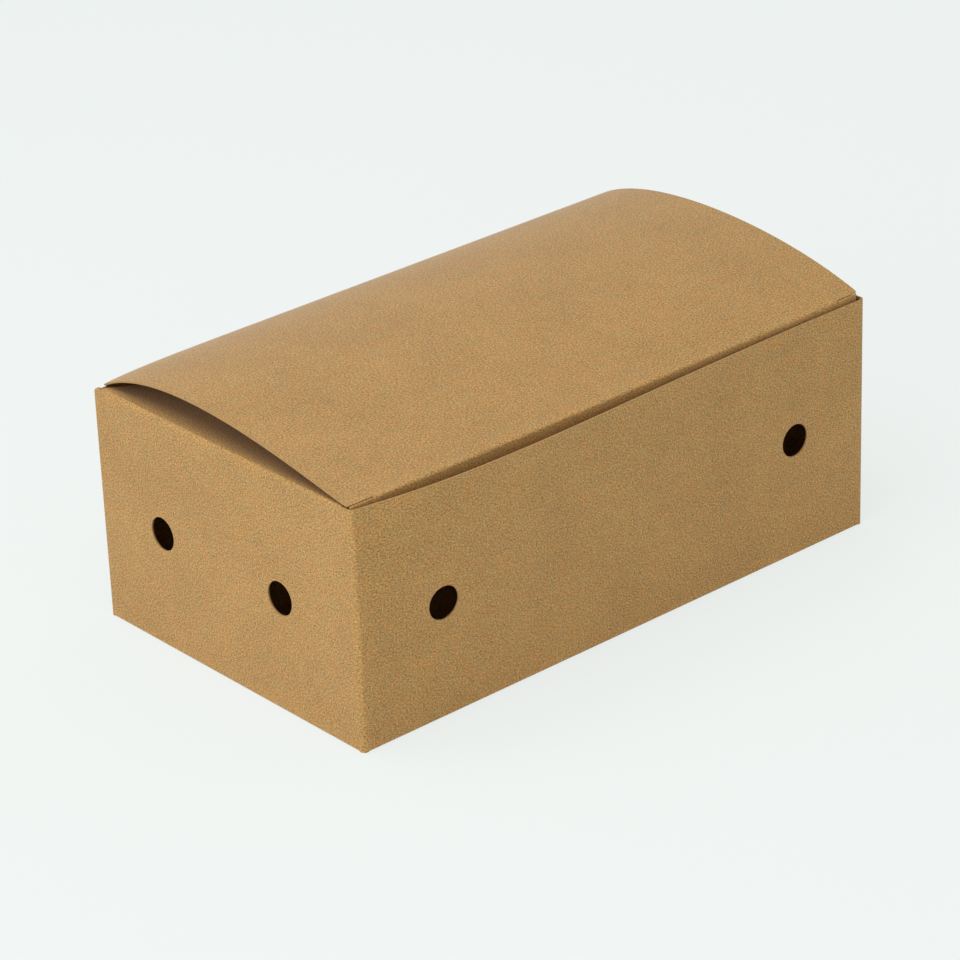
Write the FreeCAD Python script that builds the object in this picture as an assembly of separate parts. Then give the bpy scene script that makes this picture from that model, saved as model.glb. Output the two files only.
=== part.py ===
"""Folded board carton: a tray with dust flaps and vent holes, and a bowed lid with a tuck flap."""
import FreeCAD
import Part

import math
import os

Vec = FreeCAD.Vector

# Sizes of the carton, mm. X runs along the front wall, Y from front to back, Z up.
LENGTH = 205.0
DEPTH = 120.0
HEIGHT = 77.0
BOARD = 0.5
CORNER_R = 1.6
BASE_FOLD_R = 0.7
BASE_TOP = 1.5
TOP_FOLD_R = 1.0

# The front wall's top edge bows outwards, most of all near the left corner.
BOW = 4.4
BOW_AT = 55.0
BOW_START_SLOPE = 0.165
# Lengths of the handles of its two curves, from the left corner to the right one.
BOW_HANDLES = (18.0, 25.0, 38.0, 72.0)

# Vent holes: diameter, and centres along each wall and above the floor.
VENT_D = 10.7
LONG_VENTS = ((-72.2, 38.0), (72.0, 39.2))
END_VENTS = ((-25.1, 37.0), (29.9, 38.0))

# Relief at the two rear top corners, where the sheet is cut between lid and dust flap.
REAR_RELIEF_R = 3.5
HINGE_DROP = 0.8

# Dust flaps, folded in from the tops of the end walls.
DUST_DEPTH = 36.0
DUST_FRONT_GAP = 5.0
DUST_REAR_GAP = 4.5
DUST_TAPER = 7.0
DUST_TIP_R = 9.0

# Bottom flaps: seams and corner nicks, the lock tab on the front flap, and the glued inner
# flaps, whose half outline runs from the end wall to the flap's free edge.
SEAM = 0.3
SEAM_MARGIN = 1.5
NICK = 3.0
TAB_REACH = 10.0
TAB_HALF = 30.0
INNER_FLAP_HALF = ((101.8, 55.0), (58.0, 38.0), (32.0, 14.0))

# Glue flap inside the rear right corner.
GLUE_WIDTH = 14.0
GLUE_MARGIN = 5.0
GLUE_SLANT = 4.0
GLUE_FOLD = 0.6

# Lid: its ends, and each cross-section's hinge angle, hinge handle, front fold and front handle.
LID_LEFT = -102.3
LID_RIGHT = 101.0
LID_FOLD_R = 0.9
TUCK_DEPTH = 22.0
TUCK_LEAN = 1.2
TUCK_SLIT = 9.0
TUCK_SHOULDER_DROP = 1.0
TUCK_INSET = 1.8
TUCK_TIP_R = 14.0
LID_REAR_CUT = 5.0
SLIT_NOSE = 0.7
LID_SECTIONS = (
    # x, hinge angle, hinge handle, front y, front rise, front angle, front handle
    (LID_LEFT, 31.5, 39.9, -58.7, 0.95, 4.4, 11.9),
    (-40.0, 33.5, 36.5, -59.55, 1.3, 9.0, 20.0),
    (LID_RIGHT, 39.3, 27.2, -58.35, 2.2, 19.65, 36.4),
)

# Depth by which glued or folded pieces sink into each other, and by which cutters run past the board.
LAP = 0.1
FOLD_LAP = 0.4
PAST = 1.0
EPS = 0.001


def polygon(points):
    return Part.makePolygon([Vec(*p) for p in points] + [Vec(*points[0])])


def prism(points, direction):
    return Part.Face(polygon(points)).extrude(Vec(*direction))


def box(low, high):
    size = [b - a for a, b in zip(low, high)]
    return Part.makeBox(size[0], size[1], size[2], Vec(*low))


def bezier(points):
    curve = Part.BezierCurve()
    curve.setPoles([Vec(*p) for p in points])
    return curve.toShape()


def corner_arc(centre, radius, start_deg, end_deg, z):
    def at(angle):
        turn = math.radians(angle)
        return Vec(centre[0] + radius * math.cos(turn), centre[1] + radius * math.sin(turn), z)
    return Part.Arc(at(start_deg), at((start_deg + end_deg) / 2), at(end_deg)).toShape()


def wall_ring(share, inset, z):
    """Outline of the walls with a share of the bow, moved in from the outer face by inset."""
    x_in, y_in = LENGTH / 2 - CORNER_R, DEPTH / 2 - CORNER_R
    radius = CORNER_R - inset
    x_out, y_out = x_in + radius, y_in + radius
    bow = BOW * share
    angle = math.atan(BOW_START_SLOPE * share)
    start = (-x_in - radius * math.sin(angle), -y_in - radius * math.cos(angle))
    peak = (-LENGTH / 2 + BOW_AT, -y_out - bow)
    first, second, third, last = BOW_HANDLES
    edges = [
        bezier([(*start, z), (start[0] + first, start[1] - first * math.tan(angle), z),
                (peak[0] - second, peak[1], z), (*peak, z)]),
        bezier([(*peak, z), (peak[0] + third, peak[1], z), (x_in - last, -y_out, z), (x_in, -y_out, z)]),
        corner_arc((x_in, -y_in), radius, -90, 0, z),
        Part.makeLine(Vec(x_out, -y_in, z), Vec(x_out, y_in, z)),
        corner_arc((x_in, y_in), radius, 0, 90, z),
        Part.makeLine(Vec(x_in, y_out, z), Vec(-x_in, y_out, z)),
        corner_arc((-x_in, y_in), radius, 90, 180, z),
        Part.makeLine(Vec(-x_out, y_in, z), Vec(-x_out, -y_in, z)),
        corner_arc((-x_in, -y_in), radius, 180, 270 - math.degrees(angle), z),
    ]
    return Part.Wire(edges)


def plan_rectangle(inset, z):
    """The walls' outline at the floor: a rectangle with rounded corners."""
    x_in, y_in = LENGTH / 2 - CORNER_R, DEPTH / 2 - CORNER_R
    radius = CORNER_R - inset
    x_out, y_out = x_in + radius, y_in + radius
    return Part.Wire([
        Part.makeLine(Vec(-x_in, -y_out, z), Vec(x_in, -y_out, z)),
        corner_arc((x_in, -y_in), radius, -90, 0, z),
        Part.makeLine(Vec(x_out, -y_in, z), Vec(x_out, y_in, z)),
        corner_arc((x_in, y_in), radius, 0, 90, z),
        Part.makeLine(Vec(x_in, y_out, z), Vec(-x_in, y_out, z)),
        corner_arc((-x_in, y_in), radius, 90, 180, z),
        Part.makeLine(Vec(-x_out, y_in, z), Vec(-x_out, -y_in, z)),
        corner_arc((-x_in, -y_in), radius, 180, 270, z),
    ])


def edges_at(shape, z):
    return [e for e in shape.Edges if all(abs(v.Z - z) < EPS for v in e.Vertexes)]


def tub_solid(inset):
    """Solid inside the walls' outer or inner faces: an upright foot, then the bowed walls."""
    foot = Part.Face(plan_rectangle(inset, inset)).extrude(Vec(0, 0, BASE_TOP - inset))
    if BASE_FOLD_R > inset:
        foot = foot.makeFillet(BASE_FOLD_R - inset, edges_at(foot, inset))
    top = HEIGHT + 2 * inset
    bowed = (top - BASE_TOP) / (HEIGHT - BASE_TOP)
    walls = Part.makeLoft([wall_ring(0, inset, BASE_TOP), wall_ring(bowed, inset, top)], True, True)
    return foot.fuse(walls)


def folded_tub():
    """The four walls and the outer floor, with every fold rounded."""
    return tub_solid(0).cut(tub_solid(BOARD))


def corner_nicks():
    """Pinholes at the floor's corners, where the sheet is cut free to fold."""
    x, y = LENGTH / 2 - CORNER_R, DEPTH / 2 - CORNER_R
    nicks = []
    for x_low, x_high in ((-x - NICK, -x), (x, x + NICK)):
        for y_low, y_high in ((-y - NICK, -y), (y, y + NICK)):
            nicks.append(box((x_low, y_low, -PAST), (x_high, y_high, BASE_FOLD_R)))
    return nicks


def slot(start, end, width, depth):
    """A straight groove between two plan points, cut from the underside."""
    a, b = Vec(*start, 0), Vec(*end, 0)
    along = (b - a).normalize()
    side = Vec(-along.y, along.x, 0) * (width / 2)
    a, b = a - along * (width / 2), b + along * (width / 2)
    corners = [a + side, b + side, b - side, a - side]
    return prism([(c.x, c.y, -PAST) for c in corners], (0, 0, PAST + depth))


def floor_seams():
    """Seams between the four bottom flaps, with a lock tab on the front one."""
    apex = LENGTH / 2 - DEPTH / 2
    reach_x, reach_y = LENGTH / 2 - SEAM_MARGIN, DEPTH / 2 - SEAM_MARGIN
    path = [(-apex, 0), (-TAB_HALF, TAB_REACH), (TAB_HALF, TAB_REACH), (apex, 0)]
    seams = [slot(a, b, SEAM, BOARD) for a, b in zip(path, path[1:])]
    for sx in (-1, 1):
        for sy in (-1, 1):
            seams.append(slot((sx * apex, 0), (sx * reach_x, sy * reach_y), SEAM, BOARD))
    return seams


def inner_flap(side):
    """End wall's bottom flap, glued on top of the long ones."""
    half = [(side * x, y, BOARD - LAP) for x, y in INNER_FLAP_HALF]
    other_half = [(x, -y, z) for x, y, z in half[::-1]]
    return prism(half + other_half, (0, 0, BOARD + LAP))


def glue_flap():
    """Strip glued inside the right wall, folded from the back wall."""
    x = LENGTH / 2 - 2 * BOARD
    y = DEPTH / 2 - BOARD
    low, high = GLUE_MARGIN, HEIGHT - GLUE_MARGIN
    outline = [(x, y - GLUE_FOLD, low), (x, y - GLUE_WIDTH, low + GLUE_SLANT),
               (x, y - GLUE_WIDTH, high - GLUE_SLANT), (x, y - GLUE_FOLD, high)]
    return prism(outline, (BOARD + LAP, 0, 0))


def dust_flap(side):
    """Flap folded inwards from an end wall's top, with tapered ends and rounded tips."""
    wall, top = LENGTH / 2, HEIGHT
    y0, y1 = -DEPTH / 2 + DUST_FRONT_GAP, DEPTH / 2 - DUST_REAR_GAP
    r, t = TOP_FOLD_R, BOARD

    def point(x, z):
        return Vec(side * x, y0, z)
    bend = math.sqrt(0.5)
    outer_arc = Part.Arc(point(wall, top - r), point(wall - r + r * bend, top - r + r * bend),
                         point(wall - r, top)).toShape()
    inner_arc = Part.Arc(point(wall - r, top - t),
                         point(wall - r + (r - t) * bend, top - r + (r - t) * bend),
                         point(wall - t, top - r)).toShape()
    foot = top - r - FOLD_LAP
    strip = Part.Wire([
        Part.makeLine(point(wall, foot), point(wall, top - r)), outer_arc,
        Part.makeLine(point(wall - r, top), point(wall - DUST_DEPTH, top)),
        Part.makeLine(point(wall - DUST_DEPTH, top), point(wall - DUST_DEPTH, top - t)),
        Part.makeLine(point(wall - DUST_DEPTH, top - t), point(wall - r, top - t)), inner_arc,
        Part.makeLine(point(wall - t, top - r), point(wall - t, foot)),
        Part.makeLine(point(wall - t, foot), point(wall, foot)),
    ])
    flap = Part.Face(strip).extrude(Vec(0, y1 - y0, 0))
    x_root, x_tip = wall - r - t, wall - DUST_DEPTH
    z = top - t - PAST
    for y, inward in ((y0, 1), (y1, -1)):
        y_out, y_tip = y - inward * PAST, y + inward * DUST_TAPER
        x_out = side * (x_tip - PAST)
        flap = flap.cut(prism([(side * x_root, y_out, z), (side * x_root, y, z), (side * x_tip, y_tip, z),
                               (x_out, y_tip, z), (x_out, y_out, z)], (0, 0, t + 2 * PAST)))
    tips = [e for e in flap.Edges
            if all(abs(v.X - side * x_tip) < EPS for v in e.Vertexes)
            and abs(e.Vertexes[0].Z - e.Vertexes[-1].Z) > t / 2]
    return flap.makeFillet(DUST_TIP_R, tips)


def dust_flap_room(side):
    """Takes the end wall's sharp top away where the dust flap's fold replaces it."""
    y0, y1 = -DEPTH / 2 + DUST_FRONT_GAP, DEPTH / 2 - DUST_REAR_GAP
    xs = sorted((side * (LENGTH / 2 - 2 * BOARD), side * (LENGTH / 2 + PAST)))
    return box((xs[0], y0, HEIGHT - TOP_FOLD_R), (xs[1], y1, HEIGHT + PAST))


def rear_relief(side):
    """Rounded notch at a rear top corner, seen from the end and from the back."""
    r = REAR_RELIEF_R
    x, y, z = side * (LENGTH / 2 - r), DEPTH / 2 - r, HEIGHT - r
    low, high = sorted((side * (LENGTH / 2 - CORNER_R), side * (LENGTH / 2 + r)))
    from_end = box((low, y, z), (high, y + 2 * r, z + 2 * r))
    from_end = from_end.cut(Part.makeCylinder(r, high - low, Vec(low, y, z), Vec(1, 0, 0)))
    low, high = sorted((x, x + side * 2 * r))
    y_face = DEPTH / 2 - CORNER_R
    from_back = box((low, y_face, z), (high, y_face + 2 * r, z + 2 * r))
    from_back = from_back.cut(Part.makeCylinder(r, 2 * r, Vec(x, y_face, z), Vec(0, 1, 0)))
    return from_end.fuse(from_back)


def hinge_room():
    """Lowers the back wall's top edge to leave the lid's crease its room."""
    reach = LENGTH / 2 - REAR_RELIEF_R
    return box((-reach, DEPTH / 2 - PAST, HEIGHT - HINGE_DROP), (reach, DEPTH / 2 + PAST, HEIGHT + PAST))


def vent_holes():
    holes = []
    out = BOW + PAST
    for x, z in LONG_VENTS:
        start = Vec(x, -DEPTH / 2 - out, z)
        holes.append(Part.makeCylinder(VENT_D / 2, DEPTH + 2 * out, start, Vec(0, 1, 0)))
    for y, z in END_VENTS:
        start = Vec(-LENGTH / 2 - out, y, z)
        holes.append(Part.makeCylinder(VENT_D / 2, LENGTH + 2 * out, start, Vec(1, 0, 0)))
    return holes


def tray():
    body = folded_tub()
    body = body.cut([dust_flap_room(-1), dust_flap_room(1), hinge_room(), rear_relief(-1), rear_relief(1)])
    body = body.cut(floor_seams() + corner_nicks())
    body = body.fuse([dust_flap(-1), dust_flap(1), inner_flap(-1), inner_flap(1), glue_flap()])
    return body.cut(vent_holes())


def lid_form(x):
    """The lid's cross-section numbers at x, blended between the given sections."""
    for before, after in zip(LID_SECTIONS, LID_SECTIONS[1:]):
        if x <= after[0]:
            share = (x - before[0]) / (after[0] - before[0])
            return [a + (b - a) * share for a, b in zip(before, after)]
    return list(LID_SECTIONS[-1])


def along(point, angle, distance):
    return (point[0] + math.cos(angle) * distance, point[1] + math.sin(angle) * distance)


def panel_poles(form, depth):
    """Poles of the arched panel's face, depth below its top face, from hinge to front fold."""
    _, hinge_deg, hinge_handle, front_y, rise, front_deg, front_handle = form
    rear, front = math.radians(180 - hinge_deg), math.radians(front_deg)
    hinge = along((DEPTH / 2, HEIGHT), rear + math.pi / 2, depth)
    centre = (front_y + LID_FOLD_R, HEIGHT + rise - LID_FOLD_R)
    end = along(centre, front + math.pi / 2, LID_FOLD_R - depth)
    return [hinge, along(hinge, rear, hinge_handle), along(end, front, front_handle), end]


def flap_line(form, depth, start, stop):
    """Two points of the tuck flap's face, by their distance down from the fold's end."""
    centre = (form[3] + LID_FOLD_R, HEIGHT + form[4] - LID_FOLD_R)
    lean = math.atan(TUCK_LEAN / TUCK_DEPTH)
    top = along(centre, math.pi + lean, LID_FOLD_R - depth)
    down = lean - math.pi / 2
    return along(top, down, start), along(top, down, stop)


def fold_poles(form, depth):
    """Poles of the front fold's round face."""
    start, stop = panel_poles(form, depth)[-1], flap_line(form, depth, 0, 0)[0]
    centre = (form[3] + LID_FOLD_R, HEIGHT + form[4] - LID_FOLD_R)
    first, last = math.radians(form[5]) + math.pi / 2, math.pi + math.atan(TUCK_LEAN / TUCK_DEPTH)
    half = (last - first) / 2
    return [start, along(centre, first + half, (LID_FOLD_R - depth) / math.cos(half)), stop]


def lid_wire(x, runs):
    """Closed outline in the plane of x from runs of poles: two for a line, more for a curve."""
    edges = []
    for index, run in enumerate(runs):
        edges.append(bezier([(x, *p) for p in run]))
        following = runs[(index + 1) % len(runs)][0]
        if math.dist(run[-1], following) > EPS:
            edges.append(bezier([(x, *run[-1]), (x, *following)]))
    return Part.Wire(edges)


def whole_section(x):
    """Panel, front fold and tuck flap in one bent sheet."""
    form = lid_form(x)
    run = TUCK_DEPTH - LID_FOLD_R
    return lid_wire(x, [
        panel_poles(form, 0), fold_poles(form, 0), flap_line(form, 0, 0, run),
        flap_line(form, BOARD, 0, run)[::-1], fold_poles(form, BOARD)[::-1], panel_poles(form, BOARD)[::-1],
    ])


def corner_section(x):
    """Panel alone, with its cut front edge, beside the tuck flap's slit."""
    form = lid_form(x)
    forward = math.radians(form[5]) + math.pi
    top, under = panel_poles(form, 0), panel_poles(form, BOARD)
    return lid_wire(x, [top, [along(top[-1], forward, SLIT_NOSE), along(under[-1], forward, SLIT_NOSE)],
                        under[::-1]])


def shoulder_section(x):
    """Tuck flap alone, below the slit."""
    form = lid_form(x)
    run = TUCK_DEPTH - LID_FOLD_R
    return lid_wire(x, [flap_line(form, 0, TUCK_SHOULDER_DROP, run),
                        flap_line(form, BOARD, TUCK_SHOULDER_DROP, run)[::-1]])


def sheet(section, places):
    return Part.makeLoft([section(x) for x in places], True, True)


def tuck_tip(side):
    """Waste outside the tuck flap's rounded tip."""
    x_end = LID_LEFT if side < 0 else LID_RIGHT
    x_side = x_end - side * TUCK_INSET
    x_round = x_side - side * TUCK_TIP_R
    z_tip = HEIGHT + lid_form(x_end)[4] - TUCK_DEPTH
    low_x, high_x = sorted((x_side + side * PAST, x_round))
    front, rear = -DEPTH / 2 - BOW, -DEPTH / 2 + 2 * BOW
    z_round = z_tip + TUCK_TIP_R
    corner = box((low_x, front, z_tip - 2 * PAST), (high_x, rear, z_round))
    round_part = Part.makeCylinder(TUCK_TIP_R, rear - front, Vec(x_round, front, z_round), Vec(0, 1, 0))
    return corner.cut(round_part)


def lid_rear_cut(side):
    """Corner taken off the lid beside its hinge."""
    x_end = LID_LEFT if side < 0 else LID_RIGHT
    x_out, x_in = x_end + side * PAST, x_end - side * LID_REAR_CUT
    y, y_in = DEPTH / 2, DEPTH / 2 - LID_REAR_CUT
    z = HEIGHT - PAST
    return prism([(x_out, y + PAST, z), (x_in, y + PAST, z), (x_in, y, z), (x_end, y_in, z),
                  (x_out, y_in, z)], (0, 0, LID_REAR_CUT + 2 * PAST))


def lid():
    slits = (LID_LEFT + TUCK_SLIT, LID_RIGHT - TUCK_SLIT)
    sides = (LID_LEFT + TUCK_INSET, LID_RIGHT - TUCK_INSET)
    between = [form[0] for form in LID_SECTIONS[1:-1]]
    pieces = [sheet(whole_section, [slits[0], *between, slits[1]])]
    for slit, end, side in ((slits[0], LID_LEFT, sides[0]), (slits[1], LID_RIGHT, sides[1])):
        pieces.append(sheet(corner_section, sorted((slit, end))))
        pieces.append(sheet(shoulder_section, sorted((slit, side))))
    whole = pieces[0].fuse(pieces[1:])
    return whole.cut([tuck_tip(-1), tuck_tip(1), lid_rear_cut(-1), lid_rear_cut(1)])


def main():
    os.makedirs("parts", exist_ok=True)
    for name, shape in (("tray", tray()), ("lid", lid())):
        solids = shape.Solids
        print(name, "valid", shape.isValid(), "solids", len(solids),
              "volume %.1f mm3" % shape.Volume, "box", shape.BoundBox)
        solids[0].exportStep("parts/%s.step" % name)


main()
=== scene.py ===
import math

import bpy
import numpy as np
from mathutils import Matrix, Vector, geometry


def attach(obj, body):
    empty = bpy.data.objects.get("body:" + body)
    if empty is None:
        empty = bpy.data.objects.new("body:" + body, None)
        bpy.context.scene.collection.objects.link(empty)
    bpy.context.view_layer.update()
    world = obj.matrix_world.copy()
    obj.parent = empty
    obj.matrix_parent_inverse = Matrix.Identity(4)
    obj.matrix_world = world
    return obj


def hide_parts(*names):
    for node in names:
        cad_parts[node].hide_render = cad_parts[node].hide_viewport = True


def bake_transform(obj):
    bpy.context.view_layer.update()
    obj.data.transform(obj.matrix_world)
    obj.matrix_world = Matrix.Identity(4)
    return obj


# A folded carton of brown kraft board. Its tray and its lid are each a flat blank, cut to an
# outline and bent into place, so that folds, slits and flaps lie as they do in real board.
# Lengths are in metres. X runs along the front wall, Y from front to back, Z up.

bl_info = {
    "name": "Kraft Board Carton",
    "version": (1, 0, 0),
    "blender": (4, 5, 0),
    "location": "3D View > Sidebar > Carton",
    "description": "Builds a folded kraft board carton with a bowed tuck-in lid",
    "category": "Object",
}

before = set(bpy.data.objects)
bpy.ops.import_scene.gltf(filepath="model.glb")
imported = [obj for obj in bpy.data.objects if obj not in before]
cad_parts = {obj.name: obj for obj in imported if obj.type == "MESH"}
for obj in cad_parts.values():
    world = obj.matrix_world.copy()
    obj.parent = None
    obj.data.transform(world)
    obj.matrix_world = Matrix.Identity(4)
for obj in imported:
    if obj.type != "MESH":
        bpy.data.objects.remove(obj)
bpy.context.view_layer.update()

MM = 0.001
QUARTER_TURN = math.pi / 2

# Outer radius of the upright corners. The other folds' radii run to the middle of the board.
CORNER_R = 1.6 * MM
BASE_FOLD_R = 0.45 * MM
DUST_FOLD_R = 0.75 * MM
CREASE_R = 0.6 * MM
LID_FOLD_R = 0.65 * MM

# Heights: a wall's foot and a corner's above the table, and the strip of back wall that is made
# with the lid.
WALL_FOOT = 0.7 * MM
CORNER_FOOT = 0.1 * MM
STRIP = 4 * MM

# The front wall's bow: its peak's distance from the left end, its slope at that end, and the
# handles of its two curves, from left to right.
BOW_AT = 55 * MM
BOW_SLOPE = 0.165
BOW_HANDLES = (18 * MM, 25 * MM, 38 * MM, 72 * MM)

# Vent holes: centres along each wall and above the floor.
LONG_VENTS = ((-72.2 * MM, 38 * MM), (72 * MM, 39.2 * MM))
END_VENTS = ((-25.1 * MM, 37 * MM), (29.9 * MM, 38 * MM))

# Relief at the rear top corners, and how far below the walls' top it ends on the back wall's left.
RELIEF_R = 3.8 * MM
RELIEF_DROP = 2.2 * MM

# Dust flaps: depth from the wall's face, gaps before and behind their roots, taper of their
# sides, tip radius, fall for each unit inwards, and the slit at each end of a root.
DUST_DEPTH = 36 * MM
DUST_FRONT_GAP = 5 * MM
DUST_REAR_GAP = 4.5 * MM
DUST_TAPER = 7 * MM
DUST_TIP_R = 9 * MM
DUST_SLOPE = 0.16
SLIT = 0.3 * MM

# Bottom flaps: half a seam, half the lock tab's root, its reach and half its tip, how far a flap's
# root stops short of the wall's end, and the slit there.
SEAM = 0.15 * MM
APEX = 42.5 * MM
TAB_REACH = 10 * MM
TAB_HALF = 30 * MM
FLAP_ROOT = 1.9 * MM
FOOT_SLIT = 0.06 * MM

# Glued inner flaps: half of the outline, from wall to free edge, and the air under them.
INNER_FLAP_HALF = ((101.8 * MM, 55 * MM), (58 * MM, 38 * MM), (32 * MM, 14 * MM))
INNER_FLAP_AIR = 0.02 * MM

# Glue flap inside the rear right corner: width, distance from the wall's top and foot, slant of
# its ends, and how far its outline's corners stand before the fold.
GLUE_WIDTH = 14 * MM
GLUE_MARGIN = 5 * MM
GLUE_SLANT = 4 * MM
GLUE_SETBACK = 0.4 * MM

# Lid: its two ends, the cut at its rear corners, how far its left edge tapers in towards the
# hinge, and how far its rear left corner sags, with the reach over which the sag fades.
LID_LEFT = -102.3 * MM
LID_RIGHT = 101 * MM
LID_REAR_CUT = 4.8 * MM
LID_TAPER = 2.7 * MM
LID_SAG = 1.9 * MM
LID_SAG_REACH = 11 * MM

# Tuck flap: its run below the fold and its lean, the slits at its ends, the nose of the panel
# beside each slit and its radius, a slit's width, the flap's inset and its tip radius.
TUCK_RUN = 21.1 * MM
TUCK_LEAN = math.atan(1.2 / 22)
TUCK_SLIT = 9 * MM
TUCK_NOSE = 0.2 * MM
TUCK_NOSE_R = 0.7 * MM
TUCK_SLOT = 0.2 * MM
TUCK_INSET = 0.6 * MM
TUCK_TIP_R = 14 * MM

# The lid's bent form at three places, in millimetres and degrees, and how far to each side of a
# place the form is averaged, and from how many samples.
LID_FORMS = (
    # x, hinge angle, hinge handle, front y, front rise, front angle, front handle
    (-102.3, 31.5, 39.9, -58.7, 0.95, 4.4, 11.9),
    (-40.0, 33.5, 36.5, -59.55, 1.3, 9.0, 20.0),
    (101.0, 39.3, 27.2, -58.35, 2.2, 19.65, 36.4),
)
FORM_BLEND = 25.0
FORM_SAMPLES = 11

# Sampling: the pitch of the flat grid, the steps across a fold, round a hole and along a curve.
PITCH = 2.5 * MM
FOLD_STEPS = 8
HOLE_STEPS = 56
CURVE_STEPS = 240

# The least run between points of an outline, the grid's distance from it, the height under which
# a triangle is an empty sliver, and the distances at which points count as one: on the blank, on
# a row of it, in the triangulation (in millimetres) and across the lid.
LEAST_RUN = 0.04 * MM
GRID_MARGIN = 0.1 * MM
THINNEST = 0.001 * MM
SAME_POINT = 1e-7
SAME_ROW = 1e-6
SAME_CORNER = 1e-6
SAME_COLUMN = 0.01 * MM

# Slight waver of the walls: height, waves per metre along and up, and phase.
WAVER = (
    (0.10 * MM, 11.0, 4.0, 0.4),
    (0.07 * MM, 19.0, -9.0, 2.1),
    (0.04 * MM, 31.0, 13.0, 4.4),
)
WAVER_FADE = 9 * MM

# Folds painted paler, partly the real pallor of stretched fibres at the scores and partly a painted
# highlight on their bend: their width, and the middles of the base and dust folds from where they start.
FOLD_WIDTH = 1.1 * MM
BASE_FOLD_MID = 0.35 * MM
DUST_FOLD_MID = 0.6 * MM

# Unevenness of the board: waves per metre, detail and roughness of each layer, and its strength.
CLOUD, CLOUD_GAIN = (45, 2, 0.5), 0.24
MOTTLE, MOTTLE_GAIN = (260, 3, 0.6), 0.34
GRAIN, GRAIN_GAIN = (1600, 1, 0.6), 1.3
FIBRE, FIBRE_GAIN = (2700, 1, 0.5), 1.8
WARMTH, WARMTH_GAIN = (220, 4, 0.7), 3

# Fibres run longer along the blank. The board's colour drifts between a warm and a cool tint.
FIBRE_STRETCH = (0.6, 1, 1)
WARM = (1.05, 0.97, 0.90)
COOL = (0.95, 1.03, 1.10)

# The board's shine and its bumps.
ROUGH, ROUGH_GAIN = 0.68, 0.12
GLOSS = 0.34
SHEEN, SHEEN_ROUGH = 0.22, 0.4
FIBRE_BUMP = 0.8
MOTTLE_BUMP = 0.5
BUMP_STRENGTH = 0.2
BUMP_HEIGHT = 0.12 * MM

# Stage: the floor's reach, its glow and the glow's share in what the camera sees of it, and the
# strength of the light from all round.
FLOOR_REACH = 4.0
FLOOR_GLOW = 1.053
FLOOR_GLOW_SHARE = 0.76
SOFT_LIGHT = 0.665

# Lamps: side of the square, then each one's name, place and power in watts.
LAMP_SIZE = 0.6
LAMPS = (
    ("side_light", (-0.95, -0.28, 0.38), 2.25),
    ("top_light", (-0.40, 0.10, 0.95), 2.5),
)

# Camera: its place, its azimuth, elevation and roll in degrees, its lens and the width of its film
# in millimetres, and the nearest and farthest that it sees.
CAMERA_PLACE = (-0.690805, -0.799668, 0.546280)
CAMERA_TURNS = (-40.662, 26.021, -2.118)
CAMERA_LENS = 143.917
CAMERA_FILM = 36
CAMERA_RANGE = (0.01, 50)


# Settings


def colour(name, description, default):
    """A setting that holds a colour."""
    return bpy.props.FloatVectorProperty(
        name=name, description=description, subtype="COLOR", size=3, min=0, max=1, default=default)


def length(name, description, default):
    """A setting that holds a length."""
    return bpy.props.FloatProperty(
        name=name, description=description, subtype="DISTANCE", unit="LENGTH", min=0, default=default)


class CartonSettings(bpy.types.PropertyGroup):
    """Sizes and colours of the carton."""

    long_side: length("Length", "Outside length, along the front wall", 0.205)
    short_side: length("Depth", "Outside depth, from front to back", 0.120)
    height: length("Height", "Height of the walls", 0.077)
    board: length("Board", "Thickness of the board", 0.0005)
    bow: length("Bow", "How far the front wall's top bulges outwards", 0.0044)
    vent: length("Vent Hole", "Diameter of the vent holes", 0.0107)
    kraft: colour("Kraft", "Colour of the board's faces", (0.466, 0.263, 0.083))
    kraft_edge: colour("Cut Edge", "Colour of the board's cut edges", (0.440, 0.250, 0.084))
    backdrop: colour("Backdrop", "Colour of the floor and the background", (0.855, 0.896, 0.880))


# Flat outlines


def spread(start, stop, pitch):
    """Evenly spaced values from start to stop, about a pitch apart."""
    count = max(1, round(abs(stop - start) / pitch))
    return list(np.linspace(start, stop, count + 1))


def rounded(points, radii, step=0.12):
    """Outline with each corner rounded to its radius, sampled every step of turn."""
    result = []
    for index, (here, radius) in enumerate(zip(points, radii)):
        here = Vector(here)
        if radius == 0:
            result.append(tuple(here))
            continue
        back = (Vector(points[index - 1]) - here).normalized()
        ahead = (Vector(points[(index + 1) % len(points)]) - here).normalized()
        half = back.angle(ahead) / 2
        centre = here + (back + ahead).normalized() * (radius / math.sin(half))
        reach = radius / math.tan(half)
        first, last = here + back * reach - centre, here + ahead * reach - centre
        turn = first.angle_signed(last)
        for share in np.linspace(0, 1, max(2, round(abs(turn) / step)) + 1):
            arm = first.copy()
            arm.rotate(Matrix.Rotation(-turn * share, 2))
            result.append(tuple(centre + arm))
    return result


def oval_arc(centre, reach_u, reach_v, start, stop, count=10):
    """Points on an ellipse from one angle to another, in degrees."""
    return [(centre[0] + reach_u * math.cos(a), centre[1] + reach_v * math.sin(a))
            for a in np.radians(np.linspace(start, stop, count + 1))]


def circle(centre, radius):
    """A hole's edge, walked clockwise."""
    return oval_arc(centre, radius, radius, 360, 0, HOLE_STEPS)[:-1]


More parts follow.
